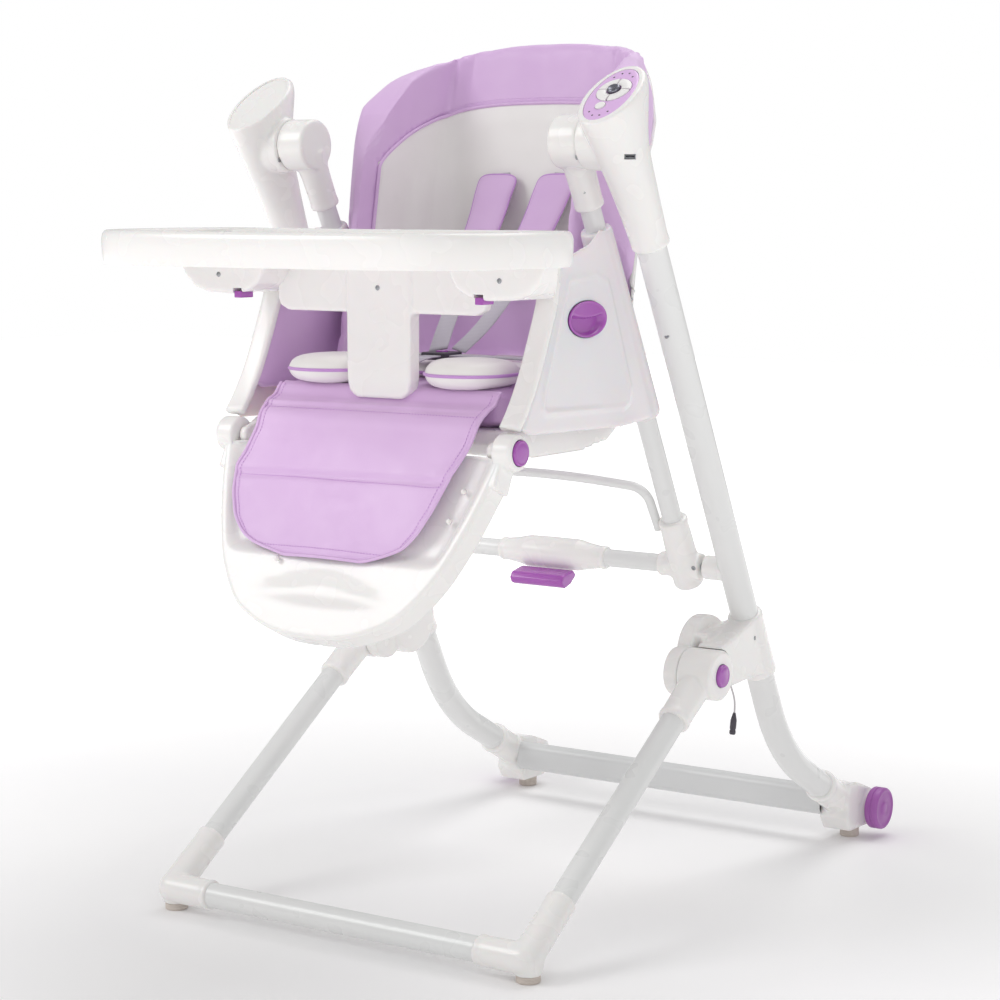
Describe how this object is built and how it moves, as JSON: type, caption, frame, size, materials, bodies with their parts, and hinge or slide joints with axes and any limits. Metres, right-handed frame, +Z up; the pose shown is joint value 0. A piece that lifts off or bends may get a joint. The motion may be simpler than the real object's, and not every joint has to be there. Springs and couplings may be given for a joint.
{
  "type": "baby high chair",
  "caption": "Swinging baby high chair with folding front legs, transport wheels, height-adjustable tub seat, reclining back, tilting footrest and sliding tray",
  "frame": {"origin": "centre of the chair's footprint box, on the floor", "axes": "+Z up, front of the chair towards -Y, the chair's control panel towards +X"},
  "size_m": [0.615, 0.9883, 1.058],
  "materials": {
    "tube_enamel": "satin powder coat on steel tube",
    "grey_enamel": "satin powder coat on steel tube",
    "white_plastic": "moulded polypropylene, soft gloss",
    "seat_plastic": "moulded polypropylene, milky and glossy",
    "wheel_plastic": "moulded, with a purple hub cap",
    "purple_plastic": "moulded ABS, gloss",
    "panel_plastic": "moulded ABS, gloss",
    "key_plastic": "moulded, fine satin",
    "knob_metal": "plated, dark",
    "lilac_leatherette": "soft coated cover over foam",
    "white_leatherette": "soft coated cover over wadding",
    "purple_leatherette": "soft coated cover over foam",
    "grey_webbing": "woven polyester webbing with moulded buckle",
    "rubber": "soft pale rubber",
    "steel": "plain",
    "board_laminate": "printed circuit board",
    "cord_sheath": "thin soft sheath",
    "dark_plastic": "moulded"
  },
  "bodies": {
    "frame": {"upper_legs": "tube_enamel", "rear_legs": "tube_enamel", "rear_ends": "white_plastic", "rear_cross_tube": "grey_enamel", "rear_feet": "rubber", "steel_pins": "steel", "hinge_housings": "white_plastic", "lock_stubs": "white_plastic", "head_shells": "white_plastic", "control_panel": "panel_plastic", "panel_socket": "steel", "drive_motor": "steel", "control_board": "board_laminate", "swing_shafts": "steel", "cord_gland": "cord_sheath", "power_cord": "cord_sheath", "cord_connector": "dark_plastic", "frame_fasteners": "steel"},
    "front_legs": {"front_leg_tubes": "tube_enamel", "fold_knuckles": "white_plastic", "front_boots": "white_plastic", "front_cross_tube": "tube_enamel", "front_feet": "rubber"},
    "fold_button_right": {"fold_button_right": "purple_plastic"},
    "fold_button_left": {"fold_button_left": "purple_plastic"},
    "wheel_right": {"wheel_right": "wheel_plastic"},
    "wheel_left": {"wheel_left": "wheel_plastic"},
    "swing": {"swing_elbows": "white_plastic", "swing_tubes": "tube_enamel", "swing_brackets": "white_plastic", "swing_cross_tube": "tube_enamel", "pedal_housing": "white_plastic", "seat_stop_bar": "tube_enamel"},
    "swing_pedal": {"swing_pedal": "purple_plastic"},
    "lock_pin_right": {"lock_pin_right": "steel"},
    "lock_pin_left": {"lock_pin_left": "steel"},
    "seat": {"seat_sides": "seat_plastic", "seat_rims": "white_plastic", "seat_base": "white_plastic", "seat_cushion": "lilac_leatherette", "insert_cushion": "white_leatherette", "harness": "grey_webbing"},
    "height_lever_right": {"height_lever_right": "purple_plastic"},
    "height_lever_left": {"height_lever_left": "purple_plastic"},
    "backrest": {"backrest_shell": "white_plastic", "backrest_pad": "lilac_leatherette", "shoulder_pads": "purple_leatherette"},
    "recline_lever": {"recline_lever": "purple_plastic"},
    "footrest": {"footrest_shell": "white_plastic", "footrest_apron": "lilac_leatherette"},
    "footrest_button_right": {"footrest_button_right": "purple_plastic"},
    "footrest_button_left": {"footrest_button_left": "purple_plastic"},
    "tray": {"tray_top": "white_plastic", "tray_pods": "white_plastic", "tray_post": "white_plastic"},
    "tray_button_right": {"tray_button_right": "purple_plastic"},
    "tray_button_left": {"tray_button_left": "purple_plastic"},
    "panel_ring": {"panel_ring": "key_plastic"},
    "panel_knob": {"panel_knob": "knob_metal"},
    "panel_button": {"panel_button": "key_plastic"}
  },
  "joints": [
    {"name": "front_leg_fold", "type": "hinge", "parent": "frame", "child": "front_legs", "pos_m": [0, 0.052, 0.285], "axis": [1, 0, 0], "range_deg": [0, 75]},
    {"name": "fold_press_right", "type": "slide", "parent": "front_legs", "child": "fold_button_right", "axis": [-1, 0, 0], "range_m": [0, 0.003], "stiffness_N_per_m": 500},
    {"name": "fold_press_left", "type": "slide", "parent": "front_legs", "child": "fold_button_left", "axis": [1, 0, 0], "range_m": [0, 0.003], "stiffness_N_per_m": 500},
    {"name": "wheel_roll_right", "type": "hinge", "parent": "frame", "child": "wheel_right", "pos_m": [0.298, 0.465, 0.0396], "axis": [1, 0, 0], "continuous": true},
    {"name": "wheel_roll_left", "type": "hinge", "parent": "frame", "child": "wheel_left", "pos_m": [-0.298, 0.465, 0.0396], "axis": [1, 0, 0], "continuous": true},
    {"name": "seat_swing", "type": "hinge", "parent": "frame", "child": "swing", "pos_m": [0, -0.145, 0.923], "axis": [1, 0, 0], "range_deg": [-10, 10]},
    {"name": "swing_lock", "type": "hinge", "parent": "swing", "child": "swing_pedal", "pos_m": [0, 0.11755, 0.405], "axis": [1, 0, 0], "range_deg": [0, 12]},
    {"name": "lock_pin_slide_right", "type": "slide", "parent": "swing", "child": "lock_pin_right", "axis": [1, 0, 0], "range_m": [0, 0.009]},
    {"name": "lock_pin_slide_left", "type": "slide", "parent": "swing", "child": "lock_pin_left", "axis": [-1, 0, 0], "range_m": [0, 0.009]},
    {"name": "seat_height", "type": "slide", "parent": "swing", "child": "seat", "axis": [0, 0.4522, -0.8919], "range_m": [0, 0.09]},
    {"name": "height_release_right", "type": "slide", "parent": "seat", "child": "height_lever_right", "axis": [0, -0.4522, 0.8919], "range_m": [0, 0.008], "stiffness_N_per_m": 300},
    {"name": "height_release_left", "type": "slide", "parent": "seat", "child": "height_lever_left", "axis": [0, -0.4522, 0.8919], "range_m": [0, 0.008], "stiffness_N_per_m": 300},
    {"name": "back_recline", "type": "hinge", "parent": "seat", "child": "backrest", "pos_m": [0, 0.00854, 0.62], "axis": [1, 0, 0], "range_deg": [-38, 0]},
    {"name": "recline_release", "type": "slide", "parent": "backrest", "child": "recline_lever", "axis": [0, 0.177, 0.9842], "range_m": [0, 0.01], "stiffness_N_per_m": 300},
    {"name": "footrest_tilt", "type": "hinge", "parent": "seat", "child": "footrest", "pos_m": [0, -0.28, 0.58], "axis": [1, 0, 0], "range_deg": [-60, 0]},
    {"name": "footrest_press_right", "type": "slide", "parent": "footrest", "child": "footrest_button_right", "axis": [-1, 0, 0], "range_m": [0, 0.003], "stiffness_N_per_m": 500},
    {"name": "footrest_press_left", "type": "slide", "parent": "footrest", "child": "footrest_button_left", "axis": [1, 0, 0], "range_m": [0, 0.003], "stiffness_N_per_m": 500},
    {"name": "tray_slide", "type": "slide", "parent": "seat", "child": "tray", "axis": [0, -1, 0], "range_m": [0, 0.05]},
    {"name": "tray_release_right", "type": "slide", "parent": "tray", "child": "tray_button_right", "axis": [0, 0, 1], "range_m": [0, 0.003], "stiffness_N_per_m": 500},
    {"name": "tray_release_left", "type": "slide", "parent": "tray", "child": "tray_button_left", "axis": [0, 0, 1], "range_m": [0, 0.003], "stiffness_N_per_m": 500},
    {"name": "ring_press", "type": "slide", "parent": "frame", "child": "panel_ring", "axis": [0, 0.6, -0.8], "range_m": [0, 0.001], "stiffness_N_per_m": 800},
    {"name": "knob_press", "type": "slide", "parent": "frame", "child": "panel_knob", "axis": [0, 0.6, -0.8], "range_m": [0, 0.001], "stiffness_N_per_m": 800},
    {"name": "power_press", "type": "slide", "parent": "frame", "child": "panel_button", "axis": [0, 0.6, -0.8], "range_m": [0, 0.001], "stiffness_N_per_m": 800}
  ],
  "couplings": [
    {"joint": "lock_pin_slide_right", "follows": "swing_lock", "m_per_rad": 0.0429},
    {"joint": "lock_pin_slide_left", "follows": "swing_lock", "m_per_rad": 0.0429}
  ]
}
